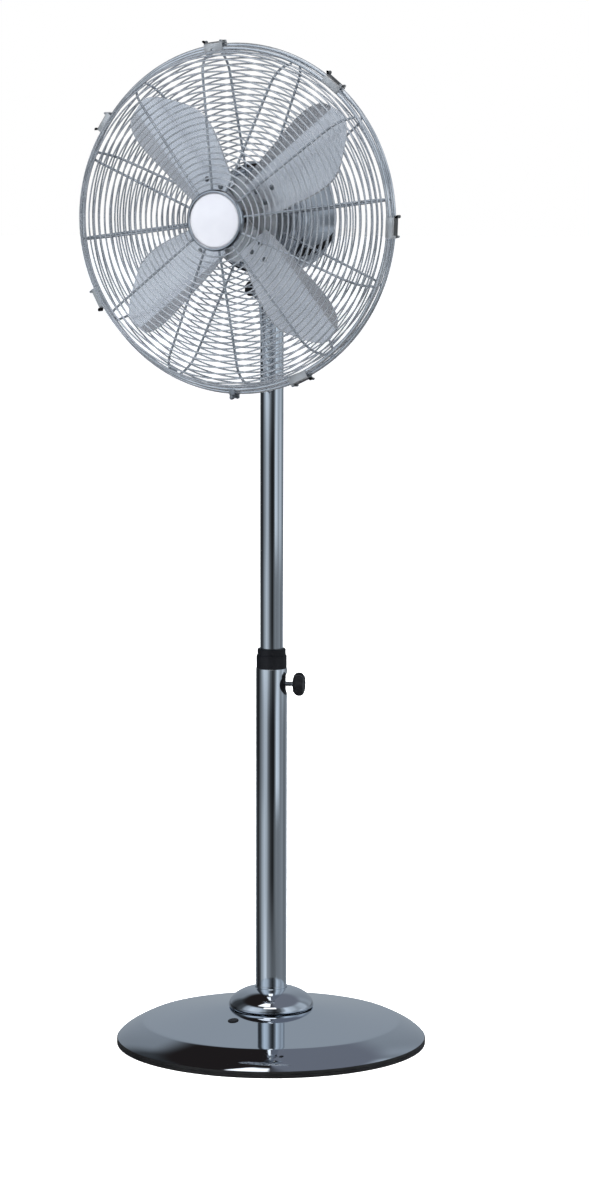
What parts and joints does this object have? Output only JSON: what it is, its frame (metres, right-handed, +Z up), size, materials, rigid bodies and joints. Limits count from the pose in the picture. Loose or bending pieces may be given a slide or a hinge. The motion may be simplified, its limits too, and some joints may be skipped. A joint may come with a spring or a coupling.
{
  "type": "pedestal fan",
  "caption": "Chromed pedestal fan on a round domed base, with a telescopic pole, a tilting and swinging motor head, a two-part wire guard and pitched metal blades.",
  "frame": {"origin": "centre of the base's underside, on the pole's axis, where the fan stands on the floor", "axes": "+Z up along the pole, the fan blows towards -Y, +X to the right of someone facing the blades"},
  "size_m": [0.4165, 0.378, 1.2162],
  "materials": {
    "chrome_plate": "bright nickel-chrome plating",
    "guard_wire": "bright plated wire",
    "rear_hoop_steel": "bright plated wire",
    "zinc_steel": "zinc-plated steel",
    "black_plastic": "matte black moulding",
    "white_plastic": "natural white moulding",
    "clip_plastic": "bright plated spring steel",
    "edge_rubber": "black rubber",
    "underplate_plastic": "matte black sheet",
    "ballast_iron": "rough casting",
    "vent_black": "matte black paint",
    "core_steel": "stacked steel sheets",
    "winding_copper": "enamelled copper wire",
    "bearing_bronze": "sintered bronze",
    "gear_case_alloy": "die-cast alloy",
    "bezel_chrome": "polished",
    "cap_aluminium": "fine radial brushing",
    "blade_aluminium": "satin anodised",
    "hub_aluminium": "satin",
    "rivet_aluminium": "satin"
  },
  "bodies": {
    "base": {"base_cover": "chrome_plate", "base_edge": "edge_rubber", "base_weight": "ballast_iron", "base_underplate": "underplate_plastic", "base_fasteners": "zinc_steel", "base_plug": "black_plastic", "bell_cover": "chrome_plate", "pole_foot": "zinc_steel", "lower_tube": "chrome_plate", "tube_bushing": "black_plastic", "clamp_nut": "zinc_steel"},
    "height_knob": {"height_knob": "black_plastic", "height_stud": "zinc_steel"},
    "mast": {"upper_tube": "chrome_plate", "tube_glide": "white_plastic", "neck": "chrome_plate", "tilt_stud": "zinc_steel"},
    "tilt_bracket": {"tilt_bracket": "zinc_steel"},
    "tilt_knob": {"tilt_knob": "black_plastic"},
    "swing_link": {"swing_link": "zinc_steel"},
    "head": {"motor_front_cover": "chrome_plate", "motor_barrel": "chrome_plate", "vent_liner": "vent_black", "motor_rear_cap": "chrome_plate", "stator": "core_steel", "windings": "winding_copper", "bearings": "bearing_bronze", "gear_case": "gear_case_alloy", "motor_bolts": "zinc_steel", "capacitor": "white_plastic", "speed_switch": "black_plastic", "cable_gland": "black_plastic", "rear_ribs": "guard_wire", "rear_face_rings": "guard_wire", "rear_side_rings": "guard_wire", "rear_hoop": "rear_hoop_steel", "guard_nut": "black_plastic", "front_ribs": "guard_wire", "front_face_rings": "guard_wire", "front_rim": "guard_wire", "cap_bezel": "bezel_chrome", "cap_plate": "cap_aluminium", "clip_channels": "clip_plastic", "safety_screw": "zinc_steel"},
    "rotor": {"rotor_core": "core_steel", "shaft": "zinc_steel", "blade_hub": "hub_aluminium", "blades": "blade_aluminium", "rivets": "rivet_aluminium", "spinner": "black_plastic"},
    "spindle": {"worm_spindle": "white_plastic"},
    "crank": {"crank_gear": "white_plastic"},
    "swing_knob": {"swing_knob": "black_plastic"},
    "switch_knob": {"switch_knob": "black_plastic"},
    "clip_lever_1": {"clip_lever_1": "clip_plastic"},
    "clip_lever_2": {"clip_lever_2": "clip_plastic"},
    "clip_lever_3": {"clip_lever_3": "clip_plastic"},
    "clip_lever_4": {"clip_lever_4": "clip_plastic"},
    "clip_lever_5": {"clip_lever_5": "clip_plastic"},
    "clip_lever_6": {"clip_lever_6": "clip_plastic"}
  },
  "joints": [
    {"name": "height_slide", "type": "slide", "parent": "base", "child": "mast", "axis": [0, 0, 1], "range_m": [-0.29, 0]},
    {"name": "height_knob_turn", "type": "hinge", "parent": "base", "child": "height_knob", "pos_m": [0, 0, 0.444], "axis": [0.9703, 0.2419, 0], "range_deg": [-180, 180]},
    {"name": "tilt", "type": "hinge", "parent": "mast", "child": "tilt_bracket", "pos_m": [0, 0, 0.921], "axis": [1, 0, 0], "range_deg": [-25, 18]},
    {"name": "tilt_knob_turn", "type": "hinge", "parent": "mast", "child": "tilt_knob", "pos_m": [-0.027, 0, 0.921], "axis": [-1, 0, 0], "range_deg": [-180, 180]},
    {"name": "swing", "type": "hinge", "parent": "tilt_bracket", "child": "head", "pos_m": [0, 0, 0.95], "axis": [0, 0, 1], "range_deg": [-41, 41]},
    {"name": "link_pivot", "type": "hinge", "parent": "tilt_bracket", "child": "swing_link", "pos_m": [0.016, 0, 0.938], "axis": [0, 0, 1], "range_deg": [-34, 34]},
    {"name": "rotor_spin", "type": "hinge", "parent": "head", "child": "rotor", "pos_m": [0, 0, 1.007], "axis": [0, -1, 0], "continuous": true},
    {"name": "spindle_spin", "type": "hinge", "parent": "head", "child": "spindle", "pos_m": [0.0172, 0.027, 0.97], "axis": [0, 0, 1], "continuous": true},
    {"name": "crank_spin", "type": "hinge", "parent": "head", "child": "crank", "pos_m": [0, 0.027, 0.94], "axis": [0, 0, 1], "continuous": true},
    {"name": "swing_knob_pull", "type": "slide", "parent": "head", "child": "swing_knob", "axis": [0, 0, 1], "range_m": [0, 0.008]},
    {"name": "switch_turn", "type": "hinge", "parent": "head", "child": "switch_knob", "pos_m": [0, 0.06, 0.984], "axis": [0, 1, 0], "range_deg": [0, 90]},
    {"name": "clip_1", "type": "hinge", "parent": "head", "child": "clip_lever_1", "pos_m": [-0.01542, -0.1015, 1.21467], "axis": [0, 1, 0], "range_deg": [0, 100]},
    {"name": "clip_2", "type": "hinge", "parent": "head", "child": "clip_lever_2", "pos_m": [0.13867, -0.1015, 1.16235], "axis": [0, 1, 0], "range_deg": [0, 100]},
    {"name": "clip_3", "type": "hinge", "parent": "head", "child": "clip_lever_3", "pos_m": [0.20752, -0.1015, 0.98975], "axis": [0, 1, 0], "range_deg": [0, 100]},
    {"name": "clip_4", "type": "hinge", "parent": "head", "child": "clip_lever_4", "pos_m": [0.07884, -0.1015, 0.81426], "axis": [0, 1, 0], "range_deg": [0, 100]},
    {"name": "clip_5", "type": "hinge", "parent": "head", "child": "clip_lever_5", "pos_m": [-0.18835, -0.1015, 0.91818], "axis": [0, 1, 0], "range_deg": [0, 100]},
    {"name": "clip_6", "type": "hinge", "parent": "head", "child": "clip_lever_6", "pos_m": [-0.16793, -0.1015, 1.13014], "axis": [0, 1, 0], "range_deg": [0, 100]}
  ],
  "couplings": [
    {"joint": "link_pivot", "follows": "swing", "ratio": 0.78},
    {"joint": "spindle_spin", "follows": "rotor_spin", "ratio": 0.033333},
    {"joint": "crank_spin", "follows": "rotor_spin", "ratio": -0.008889}
  ]
}
